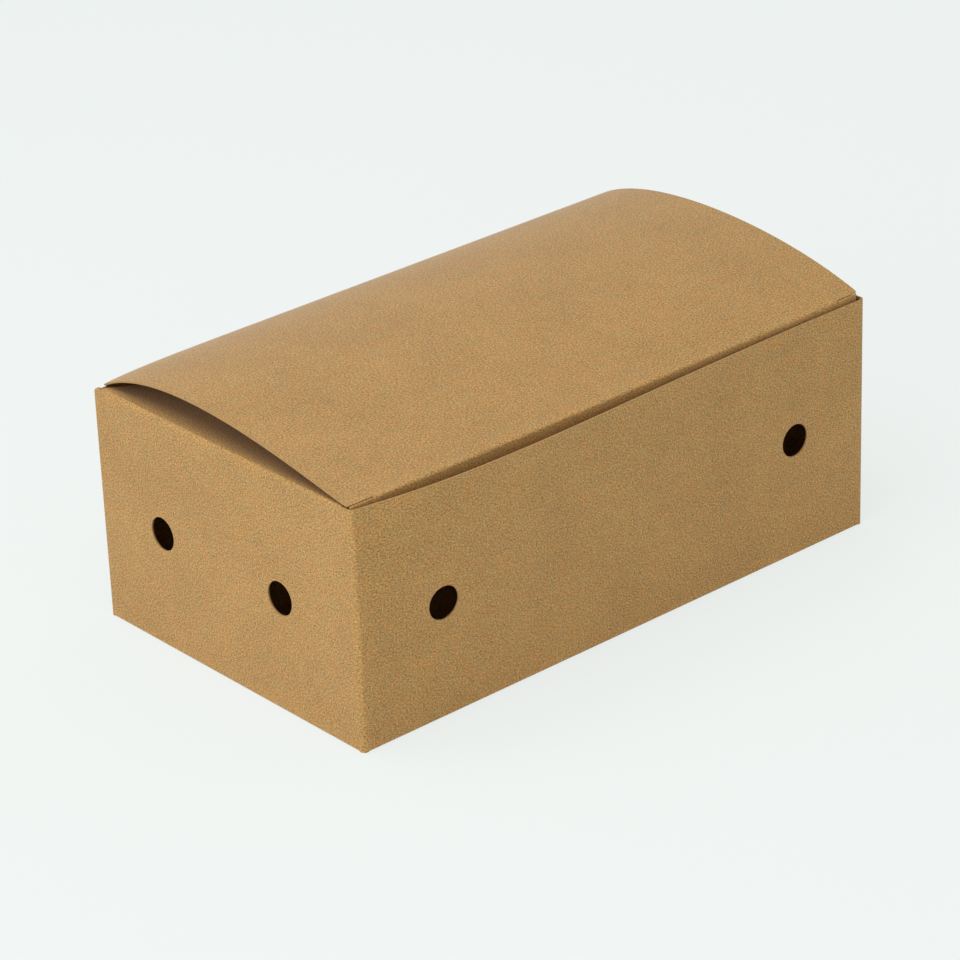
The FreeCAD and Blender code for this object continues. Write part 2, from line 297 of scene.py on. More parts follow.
def crossings(loop, columns, rows):
    """The loop with extra points where its edges cross the grid lines."""
    result = []
    for a, b in zip(loop, loop[1:] + loop[:1]):
        a, b = np.array(a), np.array(b)
        shares = [0.0]
        for axis, lines in ((0, columns), (1, rows)):
            run = b[axis] - a[axis]
            if abs(run) > SAME_POINT:
                cuts = (np.array(lines) - a[axis]) / run
                shares.extend(cuts[(cuts > 0) & (cuts < 1)])
        gap = LEAST_RUN / max(np.linalg.norm(b - a), SAME_POINT)
        kept = []
        for share in sorted(shares):
            if (not kept or share - kept[-1] > gap) and share < 1 - gap:
                kept.append(share)
        result.extend(tuple(a + (b - a) * share) for share in kept or [0.0])
    return result


def inside(points, loops):
    """Whether each point is inside the loops, by counting crossings."""
    odd = np.zeros(len(points), bool)
    u, v = points[:, 0], points[:, 1]
    for loop in loops:
        ring = np.array(loop)
        for (u0, v0), (u1, v1) in zip(ring, np.roll(ring, -1, axis=0)):
            if v0 == v1:
                continue
            crosses = (v0 > v) != (v1 > v)
            odd ^= crosses & (u < (u1 - u0) * (v - v0) / (v1 - v0) + u0)
    return odd


def clearance(points, loops):
    """Distance from each point to the nearest edge of the loops."""
    nearest = np.full(len(points), np.inf)
    for loop in loops:
        ring = np.array(loop)
        for a, b in zip(ring, np.roll(ring, -1, axis=0)):
            edge = b - a
            size = edge @ edge
            if size == 0:
                continue
            share = np.clip((points - a) @ edge / size, 0, 1)
            gap = np.linalg.norm(points - a - share[:, None] * edge, axis=1)
            nearest = np.minimum(nearest, gap)
    return nearest


def cut_blank(outline, holes, columns, rows):
    """Triangles that fill a flat outline between its holes, and follow the grid's lines."""
    loops = [crossings(list(loop), columns, rows) for loop in (outline, *holes)]
    grid = np.array([(u, v) for v in rows for u in columns])
    grid = grid[inside(grid, loops)]
    grid = grid[clearance(grid, loops) > GRID_MARGIN]
    points, edges = [], []
    for loop in loops:
        first = len(points)
        points.extend(loop)
        edges.extend((first + i, first + (i + 1) % len(loop)) for i in range(len(loop)))
    points.extend(map(tuple, grid))
    flat, _, triangles, _, _, _ = geometry.delaunay_2d_cdt(
        [Vector(p) / MM for p in points], edges, [], 0, SAME_CORNER)
    flat = np.array([tuple(p) for p in flat]) * MM
    triangles = np.array(triangles)
    corners = flat[triangles]
    sides = np.roll(corners, -1, axis=1) - corners
    doubled = np.abs(sides[:, 0, 0] * sides[:, 1, 1] - sides[:, 0, 1] * sides[:, 1, 0])
    height = doubled / np.linalg.norm(sides, axis=2).max(axis=1)
    kept = inside(corners.mean(axis=1), loops) & (height > THINNEST)
    return flat, triangles[kept]


# Bends


def curl(distance, radius):
    """A quarter fold that starts at distance 0: how far it has come in, gone on and turned."""
    turned = np.clip(distance / radius, 0, QUARTER_TURN)
    beyond = np.maximum(distance - radius * QUARTER_TURN, 0)
    onward = np.where(distance < 0, distance, radius * np.sin(turned))
    return radius * (1 - np.cos(turned)) + beyond, onward, turned


def bezier(poles):
    """Points along a cubic curve."""
    t = np.linspace(0, 1, CURVE_STEPS)[:, None]
    a, b, c, d = (np.array(p) for p in poles)
    return a * (1 - t) ** 3 + 3 * b * t * (1 - t) ** 2 + 3 * c * t ** 2 * (1 - t) + d * t ** 3


def along_curve(points, shares):
    """Points and directions at shares of a polyline's length."""
    runs = np.linalg.norm(np.diff(points, axis=0), axis=1)
    reached = np.concatenate([[0], np.cumsum(runs)])
    at = shares * reached[-1]
    place = np.stack([np.interp(at, reached, points[:, k]) for k in (0, 1)], axis=1)
    slopes = np.gradient(points, reached, axis=0)
    way = np.stack([np.interp(at, reached, slopes[:, k]) for k in (0, 1)], axis=1)
    return place, way / np.linalg.norm(way, axis=1)[:, None]


def curve_length(points):
    """Length of a polyline."""
    return float(np.linalg.norm(np.diff(points, axis=0), axis=1).sum())


def ease(x):
    """A smooth step from 0 to 1."""
    x = np.clip(x, 0, 1)
    return x * x * (3 - 2 * x)


class TrayForm:
    """Places on the tray: the walls' path in plan, and the folds at their foot and top."""

    def __init__(self, sizes):
        self.half_x, self.half_y = sizes.long_side / 2, sizes.short_side / 2
        self.height, self.board, self.bow = sizes.height, sizes.board, sizes.bow
        mid = sizes.board / 2
        self.radius = CORNER_R - mid
        self.in_x, self.in_y = self.half_x - CORNER_R, self.half_y - CORNER_R
        arc = (self.radius * QUARTER_TURN, QUARTER_TURN)
        seam = self.half_x - 3 * mid - self.radius
        glue = GLUE_WIDTH - mid - self.radius
        legs = [(glue, 0), arc, (seam + self.in_x, 0), arc, (2 * self.in_y, 0), arc,
                (2 * self.in_x, 0), arc, (2 * self.in_y + self.board, 0)]
        self.legs = []
        place = np.array([self.half_x - 3 * mid, self.half_y - mid - self.radius - glue])
        heading, reached = QUARTER_TURN, 0.0
        for run, turn in legs:
            self.legs.append((reached, run, turn, place, heading))
            place, heading = self.step(place, heading, run, turn, np.array([run]))
            place, heading = place[0], heading[0]
            reached += run
        self.reach = reached
        starts = [leg[0] for leg in self.legs]
        self.corners = [(starts[k], starts[k + 1]) for k in (1, 3, 5, 7)]
        self.back_mid = starts[2] + seam
        self.left_mid = starts[4] + self.in_y
        self.front_mid = starts[6] + self.in_x
        self.right_mid = starts[8] + self.in_y
        self.floor_v = WALL_FOOT - BASE_FOLD_R * QUARTER_TURN
        self.fold_v = sizes.height - mid - DUST_FOLD_R
        self.front_curve = self.bowed_edge()

    @staticmethod
    def step(place, heading, run, turn, distance):
        """Place and heading at distances along a straight or curved leg."""
        if turn == 0:
            way = np.array([math.cos(heading), math.sin(heading)])
            return place + distance[:, None] * way, np.full(len(distance), heading)
        radius = run / turn
        centre = place + radius * np.array([-math.sin(heading), math.cos(heading)])
        angle = heading + distance / radius
        arm = np.stack([np.sin(angle), -np.cos(angle)], axis=1)
        return centre + radius * arm, angle

    def bowed_edge(self):
        """The bow of the front wall's top edge, as x and distance outwards."""
        left, right = -self.in_x, self.in_x
        first, second, third, last = BOW_HANDLES
        peak = -self.half_x + BOW_AT
        rising = bezier([(left, 0), (left + first, first * BOW_SLOPE),
                         (peak - second, self.bow), (peak, self.bow)])
        falling = bezier([(peak, self.bow), (peak + third, self.bow), (right - last, 0), (right, 0)])
        return np.concatenate([rising, falling[1:]])

    def plan(self, u):
        """Place and heading in plan at each distance along the walls."""
        starts = np.array([leg[0] for leg in self.legs])
        which = np.clip(np.searchsorted(starts, u, side="right") - 1, 0, len(starts) - 1)
        place, heading = np.zeros((len(u), 2)), np.zeros(len(u))
        for index, (start, run, turn, origin, way) in enumerate(self.legs):
            here = which == index
            if here.any():
                place[here], heading[here] = self.step(origin, way, run, turn, u[here] - start)
        return place, heading

    def dust_roots(self):
        """Where each dust flap's root starts and ends along the walls."""
        front, rear = self.half_y - DUST_FRONT_GAP, self.half_y - DUST_REAR_GAP
        return ((self.left_mid - rear, self.left_mid + front),
                (self.right_mid - front, self.right_mid + rear))

    def bottom_roots(self):
        """The middle of each wall along the walk, and half its outside length."""
        return ((self.back_mid, self.half_x), (self.left_mid, self.half_y),
                (self.front_mid, self.half_x), (self.right_mid, self.half_y))

    def waver(self, u, v):
        """Slight unevenness of the walls, none near their folds and edges."""
        fade = ease(v / WAVER_FADE) * ease((self.height - v) / WAVER_FADE)
        for start, stop in self.corners:
            fade = fade * ease(np.abs(u - (start + stop) / 2) / WAVER_FADE)
        total = sum(size * np.sin(math.tau * (along * u + up * v) + phase)
                    for size, along, up, phase in WAVER)
        return total * fade

    def place(self, flat):
        """Middle of the board and its outward direction at each point of the flat blank."""
        u, v = flat[:, 0], flat[:, 1]
        spot, heading = self.plan(u)
        outward = np.stack([np.sin(heading), -np.cos(heading)], axis=1)
        folded = np.zeros(len(u), bool)
        for start, stop in self.dust_roots():
            folded |= (u > start - SAME_POINT) & (u < stop + SAME_POINT)
        low_in, low_on, low_turn = curl(WALL_FOOT - v, BASE_FOLD_R)
        top_in, top_on, top_turn = curl(np.where(folded, v - self.fold_v, -1), DUST_FOLD_R)
        on_flap = np.zeros(len(u), bool)
        for middle, half in self.bottom_roots():
            on_flap |= np.abs(u - middle) < half - FLAP_ROOT + FOOT_SLIT / 2
        below, above = on_flap & (v < WALL_FOOT), folded & (v > self.fold_v)
        on_dust = self.fold_v + top_on - DUST_SLOPE * top_in
        z = np.where(below, WALL_FOOT - low_on, np.where(above, on_dust, v))
        inward = np.where(below, low_in, np.where(above, top_in, 0)) - self.waver(u, v)
        turn = np.where(below, -low_turn, np.where(above, top_turn, 0))
        spot = spot - outward * inward[:, None]
        share = np.clip((z - WALL_FOOT) / (self.height - WALL_FOOT), 0, 1)
        front = (u > self.front_mid - self.in_x) & (u < self.front_mid + self.in_x)
        bulge = np.interp(spot[:, 0], self.front_curve[:, 0], self.front_curve[:, 1])
        spot[:, 1] -= np.where(front, bulge * share, 0)
        normal = np.column_stack([outward * np.cos(turn)[:, None], np.sin(turn)])
        return np.column_stack([spot, z]), normal

    def creasing(self, flat):
        """How near each point is to a fold, from 0 to 1."""
        u, v = flat[:, 0], flat[:, 1]
        near = np.full(len(u), np.inf)
        for start, stop in self.corners:
            near = np.minimum(near, np.abs(u - (start + stop) / 2))
        near = np.minimum(near, np.abs(v - WALL_FOOT + BASE_FOLD_MID))
        for start, stop in self.dust_roots():
            on_flap = (u > start) & (u < stop)
            near = np.minimum(near, np.where(on_flap, np.abs(v - self.fold_v - DUST_FOLD_MID), np.inf))
        return np.exp(-(near / FOLD_WIDTH) ** 2)


class LidForm:
    """Places on the lid: a strip of the back wall, the crease, the bowed panel and the tuck flap."""

    def __init__(self, sizes):
        self.half_y, self.height, self.mid = sizes.short_side / 2, sizes.height, sizes.board / 2
        knots = np.array(LID_FORMS)
        ahead = knots[-1] + (knots[-1] - knots[-2])
        behind = knots[0] - (knots[1] - knots[0])
        self.knots = np.vstack([behind, knots, ahead])
        middle = self.sections(0.0)
        self.strip_end = curve_length(middle[0])
        self.crease_end = self.strip_end + curve_length(middle[1])
        self.panel_end = self.crease_end + curve_length(middle[2])
        self.fold_end = self.panel_end + curve_length(middle[3])
        self.tip = self.fold_end + TUCK_RUN
        self.slits = (LID_LEFT + TUCK_SLIT, LID_RIGHT - TUCK_SLIT)

    def form(self, x):
        """The numbers of the bent form at x, blended softly between the given places."""
        near = x / MM + np.linspace(-FORM_BLEND, FORM_BLEND, FORM_SAMPLES)
        return [float(np.interp(near, self.knots[:, 0], self.knots[:, k]).mean())
                for k in range(1, self.knots.shape[1])]

    def sections(self, x):
        """Strip, crease, panel, front fold and tuck flap as runs of (y, z) in the plane of x."""
        rear, handle, front_y, rise, front, front_handle = self.form(x)
        rear, front = math.radians(rear), math.radians(front)
        y_wall = self.half_y - self.mid
        away = np.array([-math.cos(rear), math.sin(rear)])
        down = np.array([-math.sin(rear), -math.cos(rear)])
        sag = LID_SAG * math.exp((LID_LEFT - x) / LID_SAG_REACH)
        hinge = np.array([self.half_y, self.height - sag]) + down * self.mid
        corner_z = hinge[1] + (hinge[0] - y_wall) * math.tan(rear)
        turn = QUARTER_TURN - rear
        setback = CREASE_R * math.tan(turn / 2)
        strip = np.array([(y_wall, self.height - STRIP), (y_wall, corner_z - setback)])
        angles = np.linspace(0, turn, FOLD_STEPS + 1)
        centre = strip[1] + np.array([-CREASE_R, 0])
        crease = centre + CREASE_R * np.stack([np.cos(angles), np.sin(angles)], axis=1)
        radius = LID_FOLD_R + self.mid
        fold = np.array([front_y * MM + radius, self.height + rise * MM - radius])
        first, last = front + QUARTER_TURN, math.pi + TUCK_LEAN
        angles = np.linspace(first, last, FOLD_STEPS + 1)
        fold_run = fold + LID_FOLD_R * np.stack([np.cos(angles), np.sin(angles)], axis=1)
        ahead = np.array([math.cos(front), math.sin(front)])
        panel = bezier([crease[-1], crease[-1] + away * handle * MM,
                        fold_run[0] + ahead * front_handle * MM, fold_run[0]])
        flap_way = np.array([math.sin(TUCK_LEAN), -math.cos(TUCK_LEAN)])
        flap = np.array([fold_run[-1], fold_run[-1] + flap_way * TUCK_RUN])
        return strip, crease, panel, fold_run, flap

    def place(self, flat):
        """Middle of the board and its outward direction at each point of the flat blank."""
        spots, normals = np.zeros((len(flat), 3)), np.zeros((len(flat), 3))
        stops = [0, self.strip_end, self.crease_end, self.panel_end, self.fold_end, self.tip]
        keys = np.round(flat[:, 0] / SAME_COLUMN).astype(int)
        for key in np.unique(keys):
            here = np.nonzero(keys == key)[0]
            x, w = -flat[here[0], 0], flat[here, 1]
            runs = self.sections(x)
            which = np.clip(np.searchsorted(stops, w, side="right") - 1, 0, len(runs) - 1)
            for index, run in enumerate(runs):
                part = which == index
                if not part.any():
                    continue
                share = (w[part] - stops[index]) / (stops[index + 1] - stops[index])
                spot, way = along_curve(run, share)
                rows = here[part]
                spots[rows] = np.column_stack([np.full(len(rows), x), spot])
                normals[rows] = np.column_stack([np.zeros(len(rows)), way[:, 1], -way[:, 0]])
        return spots, normals

    def creasing(self, flat):
        """How near each point is to a fold, from 0 to 1."""
        hinge = np.abs(flat[:, 1] - (self.strip_end + self.crease_end) / 2)
        front = np.abs(flat[:, 1] - (self.panel_end + self.fold_end) / 2)
        return np.exp(-(np.minimum(hinge, front) / FOLD_WIDTH) ** 2)


# Outlines of the two blanks


def bottom_flap(form, middle, half, tip):
    """A bottom flap below its wall, from left to right. Its tip is given along and in from the face."""
    def at(along, inward):
        return (middle + along, form.floor_v - (inward - WALL_FOOT))
    root = half - FLAP_ROOT
    side = half - root - SEAM * math.sqrt(2)
    points = [at(a, q) for a, q in tip]
    return [(middle - root - FOOT_SLIT, CORNER_FOOT), (middle - root, WALL_FOOT),
            at(-root, side), *points, at(root, side),
            (middle + root, WALL_FOOT), (middle + root + FOOT_SLIT, CORNER_FOOT)]


def dust_flap_outline(form, start, stop, slit_left, slit_right):
    """A dust flap above its wall, from right to left, with the slits at its root."""
    top, root = form.height, form.fold_v
    straight = root + DUST_FOLD_R * QUARTER_TURN + form.board
    tip = root + DUST_FOLD_R * QUARTER_TURN + DUST_DEPTH - form.board / 2 - DUST_FOLD_R
    flap = rounded([(stop, root), (stop, straight), (stop - DUST_TAPER, tip),
                    (start + DUST_TAPER, tip), (start, straight), (start, root)],
                   [0, 0, DUST_TIP_R, DUST_TIP_R, 0, 0])
    return [(stop + slit_right, top), *flap, (start - slit_left, top)]


def tray_outline(form):
    """The tray's blank, walked anticlockwise from the glue flap's free edge."""
    half_x, half_y, top = form.half_x, form.half_y, form.height
    diagonal = SEAM * math.sqrt(2)
    glue_top, glue_fold = top - GLUE_MARGIN, form.legs[1][0] - GLUE_SETBACK
    glue_corner = form.legs[2][0] - GLUE_SETBACK
    lower_back = [(-APEX + diagonal, half_y - SEAM), (-TAB_HALF, half_y - TAB_REACH - SEAM),
                  (TAB_HALF, half_y - TAB_REACH - SEAM), (APEX - diagonal, half_y - SEAM)]
    lower_front = [(-APEX + diagonal, half_y), (-TAB_HALF, half_y + TAB_REACH - SEAM),
                   (TAB_HALF, half_y + TAB_REACH - SEAM), (APEX - diagonal, half_y)]
    lower_end = [(0, half_y - diagonal)]
    bottom = [(0, GLUE_MARGIN + GLUE_SLANT), (glue_fold, GLUE_MARGIN), (glue_corner, GLUE_MARGIN),
              (glue_corner, CORNER_FOOT),
              *bottom_flap(form, form.back_mid, half_x, lower_back),
              *bottom_flap(form, form.left_mid, half_y, lower_end),
              *bottom_flap(form, form.front_mid, half_x, lower_front),
              *bottom_flap(form, form.right_mid, half_y, lower_end),
              (form.reach, CORNER_FOOT)]
    left_dust, right_dust = form.dust_roots()
    low = top - RELIEF_R
    relief_end = form.right_mid + half_y - RELIEF_R
    cut = (form.reach - relief_end) / RELIEF_R
    rear_right = oval_arc((relief_end, low), RELIEF_R, RELIEF_R, math.degrees(math.acos(cut)), 90)
    left_corner = sum(form.corners[1]) / 2
    left_end, left_back = form.left_mid - half_y + RELIEF_R, form.back_mid + half_x - RELIEF_R
    rear_left = [*oval_arc((left_end, low), left_end - left_corner, RELIEF_R, 90, 180),
                 *oval_arc((left_back, low), left_corner - left_back, RELIEF_R - RELIEF_DROP, 0, 90)[1:]]
    strip_left = form.back_mid - LID_LEFT - LID_REAR_CUT
    strip_right = form.back_mid - LID_RIGHT + LID_REAR_CUT
    right_back = form.back_mid - half_x + RELIEF_R
    rear_right_back = oval_arc((right_back, low), right_back - glue_corner, RELIEF_R, 90, 180)
    return [*bottom, *rear_right,
            *dust_flap_outline(form, *right_dust, SLIT, SLIT),
            *dust_flap_outline(form, *left_dust, SLIT, SLIT),
            *rear_left,
            (strip_left, top - RELIEF_DROP), (strip_left, top - STRIP),
            (strip_right, top - STRIP), (strip_right, top),
            *rear_right_back, (glue_corner, glue_top), (glue_fold, glue_top), (0, glue_top - GLUE_SLANT)]


def tray_grid(form):
    """Grid lines of the tray's blank, close together across the folds."""
    columns = []
    for start, run, turn, _, _ in form.legs:
        pitch = run / FOLD_STEPS if turn else PITCH
        columns.extend(spread(start, start + run, pitch)[:-1])
    columns.append(form.reach)
    for start, stop in form.dust_roots():
        columns.extend((start, stop))
    deepest = form.floor_v - form.half_y - TAB_REACH
    highest = form.fold_v + DUST_FOLD_R * QUARTER_TURN
    rows = spread(deepest, form.floor_v, PITCH)[:-1]
    rows += spread(form.floor_v, WALL_FOOT, BASE_FOLD_R * QUARTER_TURN / FOLD_STEPS)[:-1]
    rows += spread(WALL_FOOT, form.fold_v, PITCH)[:-1]
    rows += spread(form.fold_v, highest, DUST_FOLD_R * QUARTER_TURN / FOLD_STEPS)[:-1]
    rows += spread(highest, highest + DUST_DEPTH, PITCH)
    return sorted(set(columns)), rows


def lid_outline(form):
    """The lid's blank, walked anticlockwise. Across runs from right to left, up from strip to flap."""
    left, right = -LID_LEFT, -LID_RIGHT
    slit_left, slit_right = -form.slits[0], -form.slits[1]
    nose, slot_half = form.panel_end + TUCK_NOSE, TUCK_SLOT / 2
    slot_mid, shoulder = nose + slot_half, nose + TUCK_SLOT
    side_left, side_right = left - TUCK_INSET, right + TUCK_INSET
    corner = form.crease_end + LID_REAR_CUT
    nose_low = nose - TUCK_NOSE_R
    left_nose = oval_arc((left - TUCK_NOSE_R, nose_low), TUCK_NOSE_R, TUCK_NOSE_R, 0, 90, 6)
    right_nose = oval_arc((right + TUCK_NOSE_R, nose_low), TUCK_NOSE_R, TUCK_NOSE_R, 90, 180, 6)
    tips = rounded([(side_left, shoulder), (side_left, form.tip),
                    (side_right, form.tip), (side_right, shoulder)],
                   [0, TUCK_TIP_R, TUCK_TIP_R, 0])
    left_slot = oval_arc((slit_left + slot_half, slot_mid), slot_half, slot_half, 270, 90)
    right_slot = oval_arc((slit_right - slot_half, slot_mid), slot_half, slot_half, 90, -90)
    return [(right + LID_REAR_CUT, 0), (left - LID_REAR_CUT, 0), (left - LID_REAR_CUT, form.crease_end),
            (left - LID_TAPER, corner - LID_TAPER), *left_nose, *left_slot, *tips, *right_slot,
            *right_nose, (right, corner), (right + LID_REAR_CUT, form.crease_end)]


def lid_grid(form):
    """Grid lines of the lid's blank, close together across the folds."""
    columns = spread(-LID_RIGHT, -form.slits[1], PITCH)[:-1]
    columns += spread(-form.slits[1], -form.slits[0], PITCH)[:-1]
    columns += spread(-form.slits[0], -LID_LEFT, PITCH)
    rows = spread(0, form.strip_end, PITCH / 3)[:-1]
    rows += spread(form.strip_end, form.crease_end, (form.crease_end - form.strip_end) / FOLD_STEPS)[:-1]
    rows += spread(form.crease_end, form.panel_end, PITCH)[:-1]
    rows += spread(form.panel_end, form.fold_end, (form.fold_end - form.panel_end) / FOLD_STEPS)[:-1]
    rows += spread(form.fold_end, form.tip, PITCH)
    return columns, rows


# Board


class Board:
    """Sheets of board gathered into one mesh: two faces and the cut edge between them."""

    def __init__(self, thickness):
        self.half = thickness / 2
        self.points, self.faces, self.finish = [], [], []
        self.flat, self.creases, self.sharp = [], [], set()

    def add(self, flat, triangles, place, normal, crease, open_rows=()):
        """Adds one sheet. Cut edges that lie wholly on an open row are left out."""
        base, count = len(self.points), len(flat)
        for side, shift in ((0.0, self.half), (1.0, -self.half)):
            self.points.extend(place + normal * shift)
            self.flat.extend(np.column_stack([flat, np.full(count, side)]))
            self.creases.extend(crease)
        used = {}
        for a, b, c in triangles:
            for edge in ((a, b), (b, c), (c, a)):
                used[edge] = used.get(edge, 0) + 1
            self.faces.append((base + a, base + b, base + c))
            self.faces.append((base + count + c, base + count + b, base + count + a))
            self.finish.extend((0, 0))
        for a, b in used:
            if (b, a) in used:
                continue
            ends = flat[[a, b], 1]
            if any(np.all(np.abs(ends - row) < SAME_ROW) for row in open_rows):
                continue
            self.faces.append((base + a, base + count + a, base + count + b, base + b))
            self.finish.append(1)
            self.sharp.add(frozenset((base + a, base + b)))
            self.sharp.add(frozenset((base + count + a, base + count + b)))

    def build(self, name, materials):
        """The mesh object, with the flat place and the creasing of each point kept on it."""
        mesh = bpy.data.meshes.new(name)
        mesh.from_pydata([tuple(p) for p in self.points], [], self.faces)
        for material in materials:
            mesh.materials.append(material)
        mesh.polygons.foreach_set("material_index", self.finish)
        mesh.polygons.foreach_set("use_smooth", [True] * len(self.faces))
        flat = mesh.attributes.new("flat", "FLOAT_VECTOR", "POINT")
        flat.data.foreach_set("vector", np.array(self.flat).ravel())
        crease = mesh.attributes.new("crease", "FLOAT", "POINT")
        crease.data.foreach_set("value", np.array(self.creases))
        sharp = mesh.attributes.new("sharp_edge", "BOOLEAN", "EDGE")
        sharp.data.foreach_set("value", [frozenset(edge.vertices) in self.sharp for edge in mesh.edges])
        if mesh.validate():
            raise RuntimeError(name + " has faces that Blender had to mend")
        mesh.update()
        obj = bpy.data.objects.new(name, mesh)
        bpy.context.scene.collection.objects.link(obj)
        return obj


# Materials


class Value:
    """A socket that takes part in Python sums, adding a Math node for each."""

    def __init__(self, graph, socket):
        self.graph, self.socket = graph, socket

    def maths(self, operation, *values):
        return self.graph.node("ShaderNodeMath", {"operation": operation}, dict(enumerate(values)))[0]

    def __add__(self, other):
        return self.maths("ADD", self, other)

    def __radd__(self, other):
        return self.maths("ADD", other, self)

    def __sub__(self, other):
        return self.maths("SUBTRACT", self, other)

    def __rsub__(self, other):
        return self.maths("SUBTRACT", other, self)

    def __mul__(self, other):
        return self.maths("MULTIPLY", self, other)

    def __rmul__(self, other):
        return self.maths("MULTIPLY", other, self)

    def clamp(self):
        return self.graph.node("ShaderNodeClamp", {}, {"Value": self})[0]


class Graph:
    """The nodes of one material or world."""

    def __init__(self, tree):
        self.tree = tree
        tree.nodes.clear()

    def node(self, kind, settings, inputs):
        """Adds a node, sets it up, links or sets its sockets, and returns its outputs."""
        made = self.tree.nodes.new(kind)
        for name, setting in settings.items():
            setattr(made, name, setting)
        for name, value in inputs.items():
            socket = made.inputs[name]
            if isinstance(value, Value):
                self.tree.links.new(value.socket, socket)
            else:
                socket.default_value = value
        return [Value(self, out) for out in made.outputs]

    def attribute(self, name):
        """A stored attribute: colour, vector and value."""
        return self.node("ShaderNodeAttribute", {"attribute_name": name}, {})[:3]

    def scaled(self, vector, scale):
        """A vector multiplied by another, part by part."""
        return self.node("ShaderNodeVectorMath", {"operation": "MULTIPLY"}, {0: vector, 1: scale})[0]

    def noise(self, vector, scale, detail, roughness):
        """Noise about 0, with scale waves per metre."""
        fac = self.node("ShaderNodeTexNoise", {"noise_dimensions": "3D"},
                        {"Vector": vector, "Scale": scale, "Detail": detail, "Roughness": roughness})[0]
        return fac - 0.5

    def between(self, share, first, last):
        """A colour between two others, by a share that varies. Sockets 6, 7 and 2 are the colours."""
        return self.node("ShaderNodeMix", {"data_type": "RGBA"}, {0: share, 6: first, 7: last})[2]

    def tinted(self, tint, amount):
        """A colour made lighter or darker by an amount that varies."""
        return self.node("ShaderNodeVectorMath", {"operation": "SCALE"}, {0: tint, "Scale": amount})[0]

    def direct_rays(self):
        """1 for the rays that see the backdrop itself: the camera's, mirrored and passed through."""
        camera, _, _, glossy, _, _, passed = self.node("ShaderNodeLightPath", {}, {})[:7]
        return (camera + glossy + passed).clamp()


def board_material(name, tint, fold_pallor_and_highlight, speckle):
    """Uncoated kraft board: cloudy, mottled and finely grained, with folds painted paler, partly as
    stretched fibres and partly as a painted highlight.
    """
    material = bpy.data.materials.new(name)
    material.use_nodes = True
    graph = Graph(material.node_tree)
    _, flat, _ = graph.attribute("flat")
    _, _, crease = graph.attribute("crease")
    cloud = graph.noise(flat, *CLOUD)
    mottle = graph.noise(flat, *MOTTLE)
    grain = graph.noise(flat, *GRAIN)
    fibre = graph.noise(graph.scaled(flat, FIBRE_STRETCH), *FIBRE)
    shade = 1 + cloud * CLOUD_GAIN + mottle * MOTTLE_GAIN
    shade = shade + grain * (GRAIN_GAIN * speckle) + fibre * (FIBRE_GAIN * speckle)
    # Folds painted paler here: partly the real pallor of stretched fibres, partly a painted highlight
    # where light catches the bend.
    shade = shade + crease * fold_pallor_and_highlight
    warmth = (0.5 + graph.noise(flat, *WARMTH) * WARMTH_GAIN).clamp()
    warm, cool = ((*(a * b for a, b in zip(tint, cast)), 1) for cast in (WARM, COOL))
    board = graph.between(warmth, warm, cool)
    height = grain + fibre * FIBRE_BUMP + mottle * MOTTLE_BUMP
    normal = graph.node("ShaderNodeBump", {}, {
        "Strength": BUMP_STRENGTH, "Distance": BUMP_HEIGHT, "Height": height})[0]
    shader = graph.node("ShaderNodeBsdfPrincipled", {}, {
        "Base Color": graph.tinted(board, shade), "Normal": normal,
        "Roughness": ROUGH + mottle * ROUGH_GAIN, "Specular IOR Level": GLOSS,
        "Sheen Weight": SHEEN, "Sheen Roughness": SHEEN_ROUGH})[0]
    graph.node("ShaderNodeOutputMaterial", {}, {"Surface": shader})
    return material


def board_materials(sizes):
    """Face and cut edge, made once and shared by the pieces."""
    made = [bpy.data.materials.get("kraft_face"), bpy.data.materials.get("kraft_cut_edge")]
    if None in made:
        # The face's folds are painted paler, partly stretched fibres and partly a painted highlight; the
        # cut edges get none.
        made = [board_material("kraft_face", tuple(sizes.kraft), fold_pallor_and_highlight=0.07, speckle=1.0),
                board_material("kraft_cut_edge", tuple(sizes.kraft_edge), fold_pallor_and_highlight=0.0, speckle=0.6)]
    return made


# Operators


class CARTON_OT_tray(bpy.types.Operator):
    """Adds the tray: four walls, bottom flaps, dust flaps and glue flap, folded from one sheet"""

    bl_idname = "carton.tray"
    bl_label = "Tray"

    def execute(self, context):
        sizes = context.scene.carton
        form = TrayForm(sizes)
        board = Board(sizes.board)
        holes = []
        for x, z in LONG_VENTS:
            holes.append(circle((form.front_mid + x, z), sizes.vent / 2))
            holes.append(circle((form.back_mid - x, z), sizes.vent / 2))
        for y, z in END_VENTS:
            holes.append(circle((form.left_mid - y, z), sizes.vent / 2))
            holes.append(circle((form.right_mid + y, z), sizes.vent / 2))
        flat, triangles = cut_blank(tray_outline(form), holes, *tray_grid(form))
        place, normal = form.place(flat)
        board.add(flat, triangles, place, normal, form.creasing(flat), open_rows=(form.height - STRIP,))
        for side in (-1, 1):
            half = [(side * x, y) for x, y in INNER_FLAP_HALF]
            outline = half + [(x, -y) for x, y in reversed(half)]
            if side > 0:
                outline.reverse()
            flat, triangles = cut_blank(outline, [], spread(-form.half_x, form.half_x, PITCH),
                                        spread(-form.half_y, form.half_y, PITCH))
            level = np.full(len(flat), sizes.board * 1.5 + INNER_FLAP_AIR)
            normal = np.tile((0.0, 0.0, 1.0), (len(flat), 1))
            board.add(flat, triangles, np.column_stack([flat, level]), normal, np.zeros(len(flat)))
        tray = board.build("tray_sheet", board_materials(sizes))
        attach(tray, "tray")
        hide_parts("tray")
        return {"FINISHED"}


